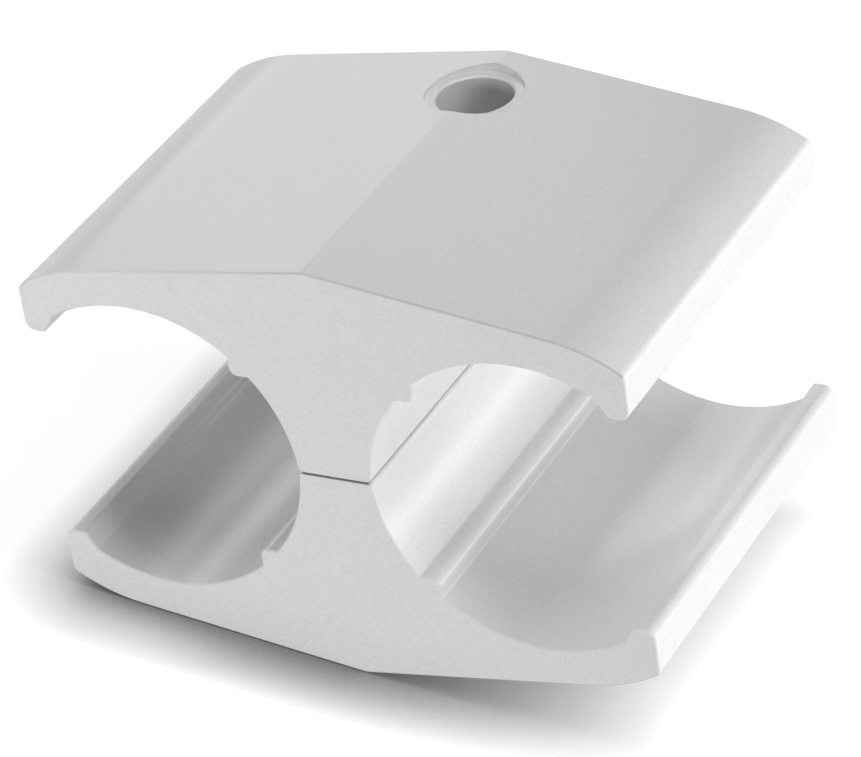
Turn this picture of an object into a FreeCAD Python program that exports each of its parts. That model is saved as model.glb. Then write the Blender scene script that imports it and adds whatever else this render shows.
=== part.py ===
import FreeCAD, Part
import math
import os

# Double jaw tube clamp: two equal plastic jaws that close on two parallel tubes.
# Frame: +Z along the bolt, +Y along the tubes from the front end to the back end, +X across.
# The origin lies on the bolt's axis, in the plane where the two jaws meet. Millimetres and degrees.

# Tubes and the spacing of the channels that hold them
TUBE_DIAMETER = 60.3
JAW_GAP_WHEN_GRIPPING = 2.8
NECK_WIDTH = 15.4

# Outer form of a jaw
JAW_LENGTH = 87.2
CROWN_WALL = 7.9
FACET_ANGLE = 7.9
WING_START_OFFSET = 8.5
WING_RADIUS = 34.6

# Lip at the outer end of each channel
LIP_ANGLE = 30.0
LIP_DEPTH = 3.9
LIP_SLOPE = 58.0
LIP_LAND = 4.2

# Bead along each channel, on which the tube bears
BEAD_ANGLE = 45.0
BEAD_FLANK_ANGLE = 45.0
BEAD_HEIGHT = 2.15
BEAD_TIP_RADIUS = 1.8

# Rounded and broken edges
RIDGE_RADIUS = 6.0
OUTER_EDGE_RADIUS = 1.8
LIP_OUTER_RADIUS = 2.2
LIP_INNER_RADIUS = 1.0
LIP_ROOT_RADIUS = 1.0
BEAD_ROOT_RADIUS = 0.5
NECK_EDGE_RADIUS = 1.4
END_EDGE_BREAK = 0.3
HOLE_EDGE_BREAK = 0.4

# Bolt hole, with a recess for the bolt's head or nut and a shallow ring for a cap
HOLE_FROM_BACK_END = 15.4
BOLT_DIAMETER = 8.0
BOLT_CLEARANCE = 0.5
BOLT_HEAD_DIAMETER = 13.0
HEAD_CLEARANCE = 1.15
GRIP_THICKNESS = 24.0
CAP_RING_WIDTH = 2.15
CAP_RING_DEPTH = 1.8

# Places that follow from the sizes above
CHANNEL_RADIUS = TUBE_DIAMETER / 2 + BEAD_HEIGHT
CHANNEL_Z = -JAW_GAP_WHEN_GRIPPING / 2
CHANNEL_X = NECK_WIDTH / 2 + math.sqrt(CHANNEL_RADIUS**2 - CHANNEL_Z**2)
FACET_SLOPE = math.tan(math.radians(FACET_ANGLE))
RIDGE_Z = CHANNEL_Z + CHANNEL_RADIUS + CROWN_WALL + CHANNEL_X * FACET_SLOPE
WING_START_X = CHANNEL_X + WING_START_OFFSET
FRONT_Y = HOLE_FROM_BACK_END - JAW_LENGTH
HOLE_DIAMETER = BOLT_DIAMETER + 2 * BOLT_CLEARANCE
RECESS_DIAMETER = BOLT_HEAD_DIAMETER + 2 * HEAD_CLEARANCE
RING_DIAMETER = RECESS_DIAMETER + 2 * CAP_RING_WIDTH
RING_FLOOR_Z = RIDGE_Z - CAP_RING_DEPTH

SAME_PLACE = 1e-4
ORIGIN = FreeCAD.Vector(0, 0, 0)
ALONG_X = FreeCAD.Vector(1, 0, 0)
ALONG_Y = FreeCAD.Vector(0, 1, 0)


def on_channel(angle):
    """Point of the right channel's wall, with the angle measured from the top towards the lip."""
    turn = math.radians(angle)
    return CHANNEL_X + CHANNEL_RADIUS * math.sin(turn), CHANNEL_Z + CHANNEL_RADIUS * math.cos(turn)


def angle_of(x, z):
    """Angle of a point about the right channel's centre, on the same scale as on_channel."""
    return math.degrees(math.atan2(x - CHANNEL_X, z - CHANNEL_Z))


def bead_corner():
    """Corner where the bead's two flanks would meet, so that its rounded tip just touches the tube."""
    flank = math.radians(BEAD_FLANK_ANGLE)
    rounded_off = BEAD_TIP_RADIUS * (1 / math.sin(flank) - 1)
    reach = CHANNEL_RADIUS - BEAD_HEIGHT - rounded_off
    turn = math.radians(-BEAD_ANGLE)
    return CHANNEL_X + reach * math.sin(turn), CHANNEL_Z + reach * math.cos(turn)


def bead_root(side):
    """Point where a flank of the bead meets the channel's wall: side -1 for the neck, 1 for the top."""
    x, z = bead_corner()
    turn = math.radians(-BEAD_ANGLE + side * BEAD_FLANK_ANGLE)
    step_x, step_z = math.sin(turn), math.cos(turn)
    from_x, from_z = x - CHANNEL_X, z - CHANNEL_Z
    along = from_x * step_x + from_z * step_z
    inside = CHANNEL_RADIUS**2 - from_x**2 - from_z**2
    reach = math.sqrt(along**2 + inside) - along
    return x + reach * step_x, z + reach * step_z


def lip_corners():
    """Root, inner corner and outer corner of the lip at the outer end of the right channel."""
    root_x, root_z = on_channel(LIP_ANGLE)
    bottom_z = root_z - LIP_DEPTH
    inner_x = root_x + LIP_DEPTH / math.tan(math.radians(LIP_SLOPE))
    return (root_x, root_z), (inner_x, bottom_z), (inner_x + LIP_LAND, bottom_z)


def on_facet(x):
    """Point of the sloping outer facet, before the ridge is rounded."""
    return x, RIDGE_Z - x * FACET_SLOPE


def on_wing(x):
    """Point of the wing's outer curve, which runs on smoothly from the end of the facet."""
    turn = math.radians(FACET_ANGLE)
    start_x, start_z = on_facet(WING_START_X)
    centre_x = start_x - WING_RADIUS * math.sin(turn)
    centre_z = start_z - WING_RADIUS * math.cos(turn)
    return x, centre_z + math.sqrt(WING_RADIUS**2 - (x - centre_x) ** 2)


def section_point(point):
    """Point of the section, placed at the front end."""
    return FreeCAD.Vector(point[0], FRONT_Y, point[1])


def line(start, end):
    return Part.LineSegment(section_point(start), section_point(end)).toShape()


def arc(start, middle, end):
    return Part.Arc(section_point(start), section_point(middle), section_point(end)).toShape()


def channel_arc(start, end):
    """Stretch of the channel's wall between two of its points."""
    middle = (angle_of(*start) + angle_of(*end)) / 2
    return arc(start, on_channel(middle), end)


def half_section():
    """Edges of the right half of the upper jaw's section, from the parting face round to the ridge."""
    neck = (NECK_WIDTH / 2, 0)
    lip_root, lip_inner, lip_outer = lip_corners()
    wing_end = on_wing(lip_outer[0])
    wing_middle = on_wing((WING_START_X + lip_outer[0]) / 2)
    wing_start = on_facet(WING_START_X)
    return [
        line((0, 0), neck),
        channel_arc(neck, bead_root(-1)),
        line(bead_root(-1), bead_corner()),
        line(bead_corner(), bead_root(1)),
        channel_arc(bead_root(1), lip_root),
        line(lip_root, lip_inner),
        line(lip_inner, lip_outer),
        line(lip_outer, wing_end),
        arc(wing_end, wing_middle, wing_start),
        line(wing_start, (0, RIDGE_Z)),
    ]


def round_long_edges(jaw, corner, radius):
    """Rounds the edges along the tubes that pass through this corner of the section, on both sides."""
    x, z = corner
    edges = []
    for edge in jaw.Edges:
        first, last = edge.Vertexes[0].Point, edge.Vertexes[-1].Point
        runs_along = math.hypot(first.x - last.x, first.z - last.z) < SAME_PLACE
        if runs_along and math.hypot(abs(first.x) - x, first.z - z) < SAME_PLACE:
            edges.append(edge)
    return jaw.makeFillet(radius, edges)


def extruded_jaw():
    """The jaw's section drawn along the tubes, with its long edges rounded."""
    right = half_section()
    left = [edge.mirror(ORIGIN, ALONG_X) for edge in right]
    section = Part.Face(Part.Wire(Part.__sortEdges__(right + left)))
    jaw = section.extrude(ALONG_Y * JAW_LENGTH).removeSplitter()
    lip_root, lip_inner, lip_outer = lip_corners()
    jaw = round_long_edges(jaw, (0, RIDGE_Z), RIDGE_RADIUS)
    jaw = round_long_edges(jaw, on_wing(lip_outer[0]), OUTER_EDGE_RADIUS)
    jaw = round_long_edges(jaw, lip_outer, LIP_OUTER_RADIUS)
    jaw = round_long_edges(jaw, lip_inner, LIP_INNER_RADIUS)
    jaw = round_long_edges(jaw, lip_root, LIP_ROOT_RADIUS)
    jaw = round_long_edges(jaw, bead_corner(), BEAD_TIP_RADIUS)
    jaw = round_long_edges(jaw, bead_root(-1), BEAD_ROOT_RADIUS)
    jaw = round_long_edges(jaw, bead_root(1), BEAD_ROOT_RADIUS)
    return round_long_edges(jaw, (NECK_WIDTH / 2, 0), NECK_EDGE_RADIUS)


def break_end_edges(jaw):
    """Breaks the sharp edges round both sawn end faces."""
    edges = []
    for face in jaw.Faces:
        if face.BoundBox.YLength < SAME_PLACE:
            edges.extend(face.Edges)
    return jaw.makeChamfer(END_EDGE_BREAK, edges)


def plug(diameter, bottom, top):
    """Cylinder on the bolt's axis between two heights."""
    return Part.makeCylinder(diameter / 2, top - bottom, FreeCAD.Vector(0, 0, bottom))


def recess_flare():
    """Cone that breaks the edge between the head's recess and the ring's floor."""
    radius = RECESS_DIAMETER / 2
    foot = FreeCAD.Vector(0, 0, RING_FLOOR_Z - HOLE_EDGE_BREAK)
    return Part.makeCone(radius, radius + HOLE_EDGE_BREAK, HOLE_EDGE_BREAK, foot)


def bolt_hole():
    """Stepped hole through the upper jaw, as one solid to cut away."""
    shank = plug(HOLE_DIAMETER, -GRIP_THICKNESS, GRIP_THICKNESS)
    recess = plug(RECESS_DIAMETER, GRIP_THICKNESS, RING_FLOOR_Z)
    ring = plug(RING_DIAMETER, RING_FLOOR_Z, RIDGE_Z + CAP_RING_DEPTH)
    return shank.fuse([recess, recess_flare(), ring])


def upper_jaw():
    return break_end_edges(extruded_jaw()).cut(bolt_hole()).removeSplitter().Solids[0]


def turned_over(jaw):
    """The same piece turned over about the direction of the tubes."""
    turned = jaw.copy()
    turned.rotate(ORIGIN, ALONG_Y, 180)
    return turned


def main():
    os.makedirs("parts", exist_ok=True)
    jaw = upper_jaw()
    jaw.exportStep("parts/upper_jaw.step")
    turned_over(jaw).exportStep("parts/lower_jaw.step")


main()
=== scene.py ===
import math
from types import SimpleNamespace

import bpy
from mathutils import Matrix, Vector


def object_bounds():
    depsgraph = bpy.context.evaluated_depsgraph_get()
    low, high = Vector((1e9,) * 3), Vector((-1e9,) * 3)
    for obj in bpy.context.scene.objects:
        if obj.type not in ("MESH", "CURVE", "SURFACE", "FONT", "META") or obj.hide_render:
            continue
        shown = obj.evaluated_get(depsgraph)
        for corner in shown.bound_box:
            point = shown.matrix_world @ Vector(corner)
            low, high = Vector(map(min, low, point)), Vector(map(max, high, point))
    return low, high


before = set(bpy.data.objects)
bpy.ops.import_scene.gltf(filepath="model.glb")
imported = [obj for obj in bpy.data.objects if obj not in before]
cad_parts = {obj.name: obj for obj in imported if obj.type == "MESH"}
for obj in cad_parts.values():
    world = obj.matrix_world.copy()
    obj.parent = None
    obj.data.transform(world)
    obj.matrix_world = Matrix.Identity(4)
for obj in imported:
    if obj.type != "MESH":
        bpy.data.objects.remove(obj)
cad_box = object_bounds()

# Double jaw tube clamp in satin white plastic, lying on one facet of its lower jaw. Metres and degrees.

# Camera, as it stood for the photograph
CAMERA_PLACE = (0.38082, -0.67337, 0.45056)
CAMERA_AZIMUTH = 30.701
CAMERA_ELEVATION = 31.267
CAMERA_ROLL = 8.386
CAMERA_LENS_MM = 189.89
CAMERA_SENSOR_MM = 36.0

# Floor under the lower jaw's left facet. It shows as its own colour and a glow that rises to white far away.
FACET_ANGLE = 7.9
FLOOR_GAP = 0.0001
FLOOR_HALF_SIZE = 2.0
FLOOR_COLOR = 0.9
FLOOR_SEEN_COLOR = 0.55
FLOOR_GLOW = 0.75
FLOOR_FADE = (0.3, 0.9)

# Contact shadow: how far and in which direction a spot of the floor looks for the clamp
CONTACT_REACH = 0.017
CONTACT_DEPTH = 1.5
CONTACT_LEAN = (0.3, 0.65, 0.65)
CONTACT_SAMPLES = 8

# Light: each softbox has the direction that it shines from, its distance, width, height and watts
BACKDROP_COLOR = (1, 1, 1, 1)
BACKDROP_WHITE = 1.0
SOFTBOXES = {
    "top": ((0.15, 0.0, 1.0), 1.3, 0.8, 1.0, 6.3),
    "left_back": ((-0.53, 0.79, 0.31), 1.3, 0.5, 0.4, 0.78),
    "back": ((-0.34, 0.76, 0.56), 1.3, 0.3, 0.3, 0.38),
    "right_high": ((0.83, 0.0, 0.56), 1.3, 0.5, 0.5, 2.3),
    "right": ((1.0, 0.0, 0.34), 1.2, 0.6, 0.4, 2.2),
    "right_back_low": ((0.8, 0.6, -0.09), 0.6, 0.4, 0.09, 0.3),
    "right_low": ((1.0, 0.0, -0.10), 0.6, 0.5, 0.10, 1.40),
    "front_left": ((-0.55, -1.0, 0.20), 0.65, 0.4, 0.2, 1.78),
}
# This softbox only lightens the shade and leaves no highlight
FILL_SOFTBOX = "front_left"

# Colours of the plastic, between which its tone moves, of its pale specks and painted highlights, and of
# painted shade
DEEP_WHITE = (0.78, 0.78, 0.777, 1)
CLEAR_WHITE = (0.90, 0.90, 0.898, 1)
PALE_SPECK_AND_HIGHLIGHT = (0.98, 0.98, 0.98, 1)
SHADED_EDGE_COLOR = (0.63, 0.63, 0.63, 1)
CREVICE_SHADE = (0.20, 0.20, 0.20, 1)
REFRACTION = 1.5

# Noises of the plastic: waves to the metre along X, Y and Z, then detail and roughness
CLOUD = ((28.0, 28.0, 28.0), 3.0, 0.5)
GRAIN = ((2400.0, 2400.0, 2400.0), 2.0, 0.5)
DRAWN_LINES = ((900.0, 6.0, 900.0), 4.0, 0.6)
SAWN_LINES = ((70.0, 0.0, 1500.0), 3.0, 0.6)
TURNED_LINES = ((0.0, 0.0, 2200.0), 2.0, 0.5)

# What makes up the tone, the roughness and the fine relief, each with its weight
TONE_START = -0.65
CLOUD_IN_TONE = 0.4
GRAIN_IN_TONE = 2.0
MARKS_IN_TONE = 0.2
# Sharp edges come out lighter in tone: edge wear, and a painted highlight along them
EDGE_HIGHLIGHT_AND_WEAR_IN_TONE = 0.35
ROUGHNESS_START = 0.15
MARKS_IN_ROUGHNESS = 0.10
END_IN_ROUGHNESS = 0.12
CLOUD_IN_ROUGHNESS = 0.05
MARKS_IN_RELIEF = 0.65
GRAIN_IN_RELIEF = 0.35
RELIEF_HEIGHT = 0.000006
RELIEF_STRENGTH = 1.0

# Sharp edges look rounded, and they show where the rounding turns the surface by these cosines
EDGE_ROUNDING = 0.0003
EDGE_SAMPLES = 4
EDGE_BEND = (0.995, 0.90)

# How far a sawn end and its broken edge face along the tubes
END_FACING = (0.85, 0.97)
BROKEN_EDGE_RISE = (0.50, 0.60)
BROKEN_EDGE_FALL = (0.85, 0.80)

# Painted shade on the broken outer edges of the ends: how far they face away from the seam, and where across
# the tubes it comes up
OUTER_FACING = (0.25, 0.40)
EDGE_SHADE_FADE = (-0.045, 0.020)

# Bolt hole, for the turning marks on its walls and the painted highlight on the sloping edge of its recess
HOLE_RADIUS = 0.0100
RECESS_EDGE_RADIUS = 0.00785
RIM_WIDTH = (0.0004, 0.0003)
RIM_SLOPE_RISE = (0.40, 0.55)
RIM_SLOPE_FALL = (0.95, 0.85)

# Pale specks: cells to the metre, and a speck's size in a cell
SPECK_CELLS = 150.0
SPECK_SIZE = (0.036, 0.024)

# Painted highlight lines along the beads and the lips, in the pale colour: distances from the bolt's plane
# and from the seam.
# A lip's line also has the place along the tubes where it starts to come up.
BEAD_HIGHLIGHT_LINES = [(0.01905, 0.02050), (0.01920, 0.02332)]
LIP_HIGHLIGHT_LINES = [(0.05639, 0.02614, -0.042), (0.05720, 0.02484, -0.048)]
LIP_HIGHLIGHT_LINES_FULL = -0.012
HIGHLIGHT_LINE_WIDTH = 0.0004
HIGHLIGHT_LINE_CORE = HIGHLIGHT_LINE_WIDTH / 3

# Painted shade in crevices, by how open a spot is, and along the seam, by the distance from it
CREVICE_SHADE_REACH = 0.0007
CREVICE_SHADE_SAMPLES = 4
UNSHADED_OPENNESS = (0.15, 0.80)
SEAM_WIDTH = (0.00040, 0.00015)

# Axes that count for the distance from the bolt and for a place in the section
IN_PLAN = (1, 1, 0)
IN_SECTION = (1, 0, 1)

# Numbers of a Mix node's colour sockets, which share their names with its number sockets
MIX_SHARE = 0
MIX_FIRST_COLOR = 6
MIX_SECOND_COLOR = 7
MIX_COLOR = 2

# Directions of the floor, and its height along the upward one
slope = math.radians(FACET_ANGLE)
FLOOR_UP = Vector((math.sin(slope), 0, math.cos(slope)))
FLOOR_ACROSS = Vector((math.cos(slope), 0, -math.sin(slope)))
FLOOR_LEVEL = min(FLOOR_UP.dot(v.co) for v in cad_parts["lower_jaw"].data.vertices) - FLOOR_GAP


def add_node(tree, kind, inputs=None, **settings):
    """Adds a node, sets its options, and sets or links its inputs by name or number."""
    node = tree.nodes.new(kind)
    for name, value in settings.items():
        setattr(node, name, value)
    for socket, value in (inputs or {}).items():
        if isinstance(value, bpy.types.NodeSocket):
            tree.links.new(value, node.inputs[socket])
        else:
            node.inputs[socket].default_value = value
    return node


def compute(tree, operation, *values):
    """Output of a Math node on these values."""
    return add_node(tree, "ShaderNodeMath", dict(enumerate(values)), operation=operation).outputs[0]


def vector_math(tree, operation, *values):
    """Outputs of a Vector Math node on these values."""
    return add_node(tree, "ShaderNodeVectorMath", dict(enumerate(values)), operation=operation).outputs


def stretched(tree, coords, scale):
    """The coordinates times a scale for each axis."""
    return vector_math(tree, "MULTIPLY", coords, scale)["Vector"]


def noise(tree, coords, waves, detail, roughness):
    """Noise from 0 to 1 over the coordinates."""
    inputs = {
        "Vector": stretched(tree, coords, waves),
        "Scale": 1.0,
        "Detail": detail,
        "Roughness": roughness,
    }
    return add_node(tree, "ShaderNodeTexNoise", inputs).outputs["Fac"]


def ramp(tree, value, low, high, to_low=0.0, to_high=1.0):
    """The value moved smoothly from one range to another."""
    inputs = {"Value": value, "From Min": low, "From Max": high, "To Min": to_low, "To Max": to_high}
    return add_node(tree, "ShaderNodeMapRange", inputs, interpolation_type="SMOOTHSTEP").outputs["Result"]


def band(tree, value, rise, fall):
    """1 between two ranges, over which it comes up and goes down again."""
    return compute(tree, "MULTIPLY", ramp(tree, value, *rise), ramp(tree, value, *fall))


def rest_of(tree, share):
    """What a share leaves of the whole."""
    return compute(tree, "SUBTRACT", 1.0, share)


def mix(tree, share, first, second):
    """Number between two others, by the share of the second."""
    inputs = {"Factor": share, "A": first, "B": second}
    return add_node(tree, "ShaderNodeMix", inputs, data_type="FLOAT").outputs["Result"]


def mix_colors(tree, share, first, second):
    """Colour between two others, by the share of the second."""
    inputs = {MIX_SHARE: share, MIX_FIRST_COLOR: first, MIX_SECOND_COLOR: second}
    return add_node(tree, "ShaderNodeMix", inputs, data_type="RGBA").outputs[MIX_COLOR]


def weighted_sum(tree, start, *terms):
    """The start plus each value times its weight."""
    total = start
    for value, weight in terms:
        total = compute(tree, "MULTIPLY_ADD", value, weight, total)
    return total


def new_material(name):
    """Material with an empty node tree."""
    material = bpy.data.materials.new(name)
    material.use_nodes = True
    material.node_tree.nodes.clear()
    return material


def read_surface(tree):
    """Where a spot of the jaw lies and which way it faces, as far as its looks depend on that."""
    place = add_node(tree, "ShaderNodeTexCoord").outputs
    coords = place["Object"]
    spot = add_node(tree, "ShaderNodeSeparateXYZ", {"Vector": coords}).outputs
    facing = add_node(tree, "ShaderNodeSeparateXYZ", {"Vector": place["Normal"]}).outputs
    facing_along = compute(tree, "ABSOLUTE", facing["Y"])
    from_axis = vector_math(tree, "LENGTH", stretched(tree, coords, IN_PLAN))["Value"]
    return SimpleNamespace(
        coords=coords,
        across=spot["X"],
        along=spot["Y"],
        section=vector_math(tree, "ABSOLUTE", stretched(tree, coords, IN_SECTION))["Vector"],
        from_axis=from_axis,
        from_seam=compute(tree, "ABSOLUTE", spot["Z"]),
        outward=compute(tree, "MULTIPLY", compute(tree, "SIGN", spot["Z"]), facing["Z"]),
        end=ramp(tree, facing_along, *END_FACING),
        broken=band(tree, facing_along, BROKEN_EDGE_RISE, BROKEN_EDGE_FALL),
        hole=compute(tree, "LESS_THAN", from_axis, HOLE_RADIUS),
    )


def tool_marks(tree, surface):
    """Lines drawn along the tubes, sawn on the ends and turned in the hole."""
    drawn = noise(tree, surface.coords, *DRAWN_LINES)
    sawn = noise(tree, surface.coords, *SAWN_LINES)
    turned = noise(tree, surface.coords, *TURNED_LINES)
    return mix(tree, surface.hole, mix(tree, surface.end, drawn, sawn), turned)


def painted_highlight_line(tree, surface, x, z):
    """Painted highlight: a fine pale line along the tubes at this place of the section, on both sides of
    both jaws.
    """
    beside = vector_math(tree, "DISTANCE", surface.section, (x, 0, z))["Value"]
    return ramp(tree, beside, HIGHLIGHT_LINE_WIDTH, HIGHLIGHT_LINE_CORE)


def recess_rim_highlight(tree, surface):
    """Painted highlight on the sloping edge between the recess and the ring round it."""
    beside = compute(tree, "ABSOLUTE", compute(tree, "SUBTRACT", surface.from_axis, RECESS_EDGE_RADIUS))
    sloping = band(tree, surface.outward, RIM_SLOPE_RISE, RIM_SLOPE_FALL)
    return compute(tree, "MULTIPLY", ramp(tree, beside, *RIM_WIDTH), sloping)


def pale_specks_and_highlights(tree, surface):
    """Share of the pale colour: specks, and painted highlights on lines along the beads and the lips and on
    the edge of the recess.
    """
    cells = {"Vector": surface.coords, "Scale": SPECK_CELLS}
    from_speck = add_node(tree, "ShaderNodeTexVoronoi", cells, feature="F1").outputs["Distance"]
    # Painted highlight lines along the beads and the lips
    lines = [painted_highlight_line(tree, surface, x, z) for x, z in BEAD_HIGHLIGHT_LINES]
    for x, z, start in LIP_HIGHLIGHT_LINES:
        shown = ramp(tree, surface.along, start, LIP_HIGHLIGHT_LINES_FULL)
        lines.append(compute(tree, "MULTIPLY", painted_highlight_line(tree, surface, x, z), shown))
    pale = ramp(tree, from_speck, *SPECK_SIZE)
    for mark in lines + [recess_rim_highlight(tree, surface)]:
        pale = compute(tree, "MAXIMUM", pale, mark)
    return pale


def painted_edge_shade(tree, surface):
    """Share of painted shade on the broken outer edges of the ends, which comes up towards the right."""
    shaded_edge = compute(tree, "MULTIPLY", surface.broken, ramp(tree, surface.outward, *OUTER_FACING))
    shaded_edge = compute(tree, "MULTIPLY", shaded_edge, rest_of(tree, surface.hole))
    return compute(tree, "MULTIPLY", shaded_edge, ramp(tree, surface.across, *EDGE_SHADE_FADE))


def unshaded_share(tree, surface):
    """Share that is free of painted shade: less in crevices outside the hole, and at the seam's broken
    edges.
    """
    around = add_node(tree, "ShaderNodeAmbientOcclusion", {"Distance": CREVICE_SHADE_REACH}, samples=CREVICE_SHADE_SAMPLES)
    unshaded = compute(tree, "MAXIMUM", ramp(tree, around.outputs["AO"], *UNSHADED_OPENNESS), surface.hole)
    seam_shade = compute(tree, "MULTIPLY", surface.broken, ramp(tree, surface.from_seam, *SEAM_WIDTH))
    return compute(tree, "MULTIPLY", unshaded, rest_of(tree, seam_shade))


def bent_edges(tree, rounded):
    """1 at sharp edges, where the rounded surface turns away from the face."""
    face = add_node(tree, "ShaderNodeNewGeometry").outputs["Normal"]
    return ramp(tree, vector_math(tree, "DOT_PRODUCT", rounded, face)["Value"], *EDGE_BEND)


def jaw_plastic():
    """Satin white plastic with fine grain, tool marks and pale specks, painted highlights, and painted shade
    at edges, in crevices and along the seam.
    """
    material = new_material("jaw_plastic")
    tree = material.node_tree
    surface = read_surface(tree)
    bevel = add_node(tree, "ShaderNodeBevel", {"Radius": EDGE_ROUNDING}, samples=EDGE_SAMPLES)
    rounded = bevel.outputs["Normal"]
    edge = bent_edges(tree, rounded)
    cloud = noise(tree, surface.coords, *CLOUD)
    grain = noise(tree, surface.coords, *GRAIN)
    marks = tool_marks(tree, surface)

    # The tone takes in edge wear and a painted highlight along sharp edges
    tone = weighted_sum(
        tree,
        TONE_START,
        (cloud, CLOUD_IN_TONE),
        (grain, GRAIN_IN_TONE),
        (marks, MARKS_IN_TONE),
        (edge, EDGE_HIGHLIGHT_AND_WEAR_IN_TONE),
    )
    color = mix_colors(tree, tone, DEEP_WHITE, CLEAR_WHITE)
    # Pale specks, and painted highlights along the beads, the lips and the recess edge
    color = mix_colors(tree, pale_specks_and_highlights(tree, surface), color, PALE_SPECK_AND_HIGHLIGHT)
    # Painted shade on the outer broken edges of the ends
    color = mix_colors(tree, painted_edge_shade(tree, surface), color, SHADED_EDGE_COLOR)
    # Painted shade in crevices and along the seam
    color = mix_colors(tree, unshaded_share(tree, surface), CREVICE_SHADE, color)
    roughness = weighted_sum(
        tree,
        ROUGHNESS_START,
        (marks, MARKS_IN_ROUGHNESS),
        (surface.end, END_IN_ROUGHNESS),
        (cloud, CLOUD_IN_ROUGHNESS),
    )
    relief = {
        "Strength": RELIEF_STRENGTH,
        "Distance": RELIEF_HEIGHT,
        "Height": weighted_sum(tree, 0.0, (marks, MARKS_IN_RELIEF), (grain, GRAIN_IN_RELIEF)),
        "Normal": rounded,
    }
    looks = {
        "Base Color": color,
        "Roughness": roughness,
        "Normal": add_node(tree, "ShaderNodeBump", relief).outputs["Normal"],
        "IOR": REFRACTION,
    }
    shader = add_node(tree, "ShaderNodeBsdfPrincipled", looks)
    add_node(tree, "ShaderNodeOutputMaterial", {"Surface": shader.outputs["BSDF"]})
    return material


def seen_directly(tree):
    """1 for what the camera sees, by itself or in gloss and glass, and 0 for light on other surfaces."""
    path = add_node(tree, "ShaderNodeLightPath").outputs
    shown = compute(tree, "MAXIMUM", path["Is Camera Ray"], path["Is Glossy Ray"])
    return compute(tree, "MAXIMUM", shown, path["Is Transmission Ray"])


def floor_paper():
    """Pale matt paper that shows white where no shadow falls, and dark where the clamp lies close to it."""
    material = new_material("floor_paper")
    tree = material.node_tree
    contact = {
        "Distance": CONTACT_REACH,
        "Normal": add_node(tree, "ShaderNodeCombineXYZ", dict(enumerate(CONTACT_LEAN))).outputs[0],
    }
    around = add_node(tree, "ShaderNodeAmbientOcclusion", contact, samples=CONTACT_SAMPLES).outputs["AO"]
    lit = compute(tree, "POWER", around, CONTACT_DEPTH)
    seen = seen_directly(tree)
    shade = mix(tree, seen, FLOOR_COLOR, compute(tree, "MULTIPLY", lit, FLOOR_SEEN_COLOR))
    matt = add_node(tree, "ShaderNodeBsdfDiffuse", {"Color": shade})

    coords = add_node(tree, "ShaderNodeTexCoord").outputs["Object"]
    away = vector_math(tree, "LENGTH", coords)["Value"]
    shown = compute(tree, "MULTIPLY", seen, ramp(tree, away, *FLOOR_FADE, FLOOR_GLOW, BACKDROP_WHITE))
    glow = add_node(tree, "ShaderNodeEmission", {"Strength": compute(tree, "MULTIPLY", shown, lit)})
    both = add_node(tree, "ShaderNodeAddShader", {0: matt.outputs[0], 1: glow.outputs[0]})
    add_node(tree, "ShaderNodeOutputMaterial", {"Surface": both.outputs[0]})
    return material


def floor_corner(across, along):
    """Corner of the floor, by its side across and along the tubes, -1 or 1."""
    beside = FLOOR_ACROSS * across + Vector((0, along, 0))
    return FLOOR_UP * FLOOR_LEVEL + beside * FLOOR_HALF_SIZE


def add_floor():
    """Floor on which the clamp lies in the photograph."""
    corners = [floor_corner(-1, -1), floor_corner(1, -1), floor_corner(1, 1), floor_corner(-1, 1)]
    mesh = bpy.data.meshes.new("floor")
    mesh.from_pydata(corners, [], [(0, 1, 2, 3)])
    mesh.materials.append(floor_paper())
    floor = bpy.data.objects.new("floor", mesh)
    bpy.context.scene.collection.objects.link(floor)


def add_softbox(name, direction, distance, width, height, watts):
    """Soft lamp, itself unseen, that shines on the clamp from this direction."""
    lamp = bpy.data.lights.new(name, "AREA")
    lamp.shape = "RECTANGLE"
    lamp.size = width
    lamp.size_y = height
    lamp.energy = watts
    holder = bpy.data.objects.new(name, lamp)
    holder.visible_camera = False
    holder.visible_glossy = name != FILL_SOFTBOX
    middle = (cad_box[0] + cad_box[1]) / 2
    away = Vector(direction).normalized()
    turn = (-away).to_track_quat("-Z", "Y").to_matrix().to_4x4()
    holder.matrix_world = Matrix.Translation(middle + away * distance) @ turn
    bpy.context.scene.collection.objects.link(holder)


def add_world():
    """White backdrop for the camera and for gloss, with no light of its own on the clamp."""
    world = bpy.data.worlds.new("studio")
    world.use_nodes = True
    tree = world.node_tree
    tree.nodes.clear()
    strength = compute(tree, "MULTIPLY", seen_directly(tree), BACKDROP_WHITE)
    backdrop = add_node(tree, "ShaderNodeBackground", {"Color": BACKDROP_COLOR, "Strength": strength})
    add_node(tree, "ShaderNodeOutputWorld", {"Surface": backdrop.outputs[0]})
    bpy.context.scene.world = world


def add_camera():
    """Camera of the photograph, turned by its azimuth, elevation and roll."""
    data = bpy.data.cameras.new("camera")
    data.sensor_fit = "HORIZONTAL"
    data.sensor_width = CAMERA_SENSOR_MM
    data.lens = CAMERA_LENS_MM
    data.dof.use_dof = False
    camera = bpy.data.objects.new("camera", data)
    azimuth = math.radians(CAMERA_AZIMUTH)
    elevation = math.radians(CAMERA_ELEVATION)
    level = math.cos(elevation)
    forward = Vector((-math.sin(azimuth) * level, math.cos(azimuth) * level, -math.sin(elevation)))
    upright = forward.to_track_quat("-Z", "Y").to_matrix().to_4x4()
    rolled = upright @ Matrix.Rotation(math.radians(-CAMERA_ROLL), 4, "Z")
    camera.matrix_world = Matrix.Translation(CAMERA_PLACE) @ rolled
    bpy.context.scene.collection.objects.link(camera)
    bpy.context.scene.camera = camera


plastic = jaw_plastic()
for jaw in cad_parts.values():
    jaw.material_slots[0].material = plastic

add_floor()
for softbox_name, softbox_values in SOFTBOXES.items():
    add_softbox(softbox_name, *softbox_values)
add_world()
add_camera()
bpy.context.scene.view_settings.view_transform = "Standard"
